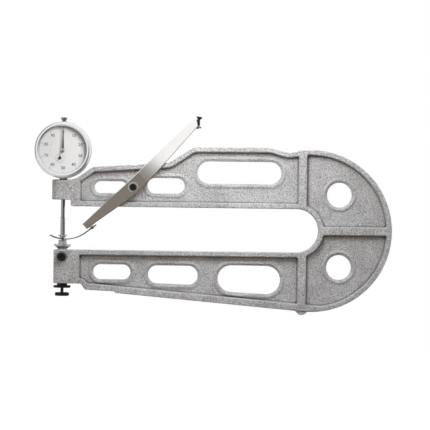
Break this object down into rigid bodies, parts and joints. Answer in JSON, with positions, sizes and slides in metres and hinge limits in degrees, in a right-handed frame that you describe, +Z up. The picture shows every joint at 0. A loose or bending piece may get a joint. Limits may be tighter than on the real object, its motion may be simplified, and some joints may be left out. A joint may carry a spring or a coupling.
{
  "type": "deep-throat dial thickness gauge",
  "caption": "Hand-held dial thickness gauge: deep C-shaped cast frame, dial indicator, lifting lever with fork, and an adjustable anvil.",
  "frame": {"origin": "midpoint between the centres of the two round holes in the bow, on the casting's middle plane", "axes": "+X from the spindle towards the bow, +Z up along the spindle, -Y out of the dial's face"},
  "size_m": [0.3585, 0.0291, 0.1975],
  "materials": {
    "hammer_paint": "silver hammertone enamel",
    "case_metal": "satin silver",
    "bright_chrome": "polished",
    "satin_steel": "satin nickel plate",
    "dark_steel": "hardened, dark oxide",
    "black_steel": "black oxide",
    "movement_brass": "machined",
    "spring_steel": "bright spring wire",
    "dial_white": "matt white with black scale",
    "pointer_black": "matt black",
    "crystal_clear": "clear",
    "black_plastic": "satin moulded"
  },
  "bodies": {
    "frame": {"frame_casting": "hammer_paint", "stem_set_screw": "black_steel", "dial_case": "case_metal", "back_cover": "case_metal", "cover_screws": "satin_steel", "stem": "bright_chrome", "top_bush": "bright_chrome", "inner_dial": "dial_white", "rear_plate": "movement_brass", "plate_pillars": "movement_brass", "centre_bridge": "movement_brass", "guide_rail": "movement_brass", "hairspring": "spring_steel", "pivot_washer": "satin_steel", "pivot_bush": "satin_steel", "pivot_screw": "black_steel", "clamp_washer": "satin_steel"},
    "spindle": {"spindle": "bright_chrome", "guide_pin": "satin_steel", "lifting_knob": "bright_chrome", "extension_rod": "satin_steel", "lift_collar": "satin_steel", "contact_point": "bright_chrome", "return_spring": "spring_steel"},
    "counter": {"rack_arbor": "movement_brass", "counter_pointer": "pointer_black"},
    "centre": {"centre_arbor": "movement_brass", "main_pointer": "pointer_black"},
    "take_up": {"take_up_wheel": "movement_brass"},
    "lever": {"lever_plate": "satin_steel", "lift_fork": "dark_steel", "fork_spacers": "dark_steel", "fork_rivets": "dark_steel", "finger_button": "black_plastic", "button_screw": "black_steel"},
    "bezel": {"bezel": "case_metal", "crystal": "crystal_clear", "crystal_ring": "black_plastic", "scale_ring": "dial_white"},
    "anvil": {"anvil": "bright_chrome", "adjusting_screw": "black_steel"},
    "lock_nut": {"lock_nut": "black_steel"},
    "clamp_screw": {"clamp_screw": "black_steel"}
  },
  "joints": [
    {"name": "spindle_slide", "type": "slide", "parent": "frame", "child": "spindle", "axis": [0, 0, 1], "range_m": [0, 0.01], "stiffness_N_per_m": 60, "springref_m": -0.02, "deforming": ["return_spring"]},
    {"name": "main_pointer_turn", "type": "hinge", "parent": "frame", "child": "centre", "pos_m": [-0.2775, 0, 0.0778], "axis": [0, 1, 0], "range_deg": [0, 3600]},
    {"name": "counter_turn", "type": "hinge", "parent": "frame", "child": "counter", "pos_m": [-0.2806, 0, 0.0698], "axis": [0, 1, 0], "range_deg": [-360, 0]},
    {"name": "take_up_turn", "type": "hinge", "parent": "frame", "child": "take_up", "pos_m": [-0.2744, 0, 0.0858], "axis": [0, 1, 0], "range_deg": [-360, 0]},
    {"name": "lever_swing", "type": "hinge", "parent": "frame", "child": "lever", "pos_m": [-0.20675, 0, 0.0415], "axis": [0, 1, 0], "range_deg": [0, 8.3]},
    {"name": "bezel_turn", "type": "hinge", "parent": "frame", "child": "bezel", "pos_m": [-0.2775, 0, 0.0778], "axis": [0, 1, 0], "continuous": true},
    {"name": "anvil_turn", "type": "hinge", "parent": "frame", "child": "anvil", "pos_m": [-0.2775, 0, -0.0665], "axis": [0, 0, 1], "range_deg": [-360, 0]},
    {"name": "lock_nut_turn", "type": "hinge", "parent": "frame", "child": "lock_nut", "pos_m": [-0.2775, 0, -0.0585], "axis": [0, 0, 1], "range_deg": [-180, 0]},
    {"name": "clamp_screw_turn", "type": "hinge", "parent": "frame", "child": "clamp_screw", "pos_m": [-0.2775, 0, -0.0289], "axis": [0, 1, 0], "range_deg": [-270, 0]}
  ],
  "couplings": [
    {"joint": "main_pointer_turn", "follows": "spindle_slide", "rad_per_m": 6283.2},
    {"joint": "counter_turn", "follows": "spindle_slide", "rad_per_m": -628.32},
    {"joint": "take_up_turn", "follows": "spindle_slide", "rad_per_m": -628.32},
    {"joint": "lever_swing", "follows": "spindle_slide", "rad_per_m": 14.486}
  ]
}
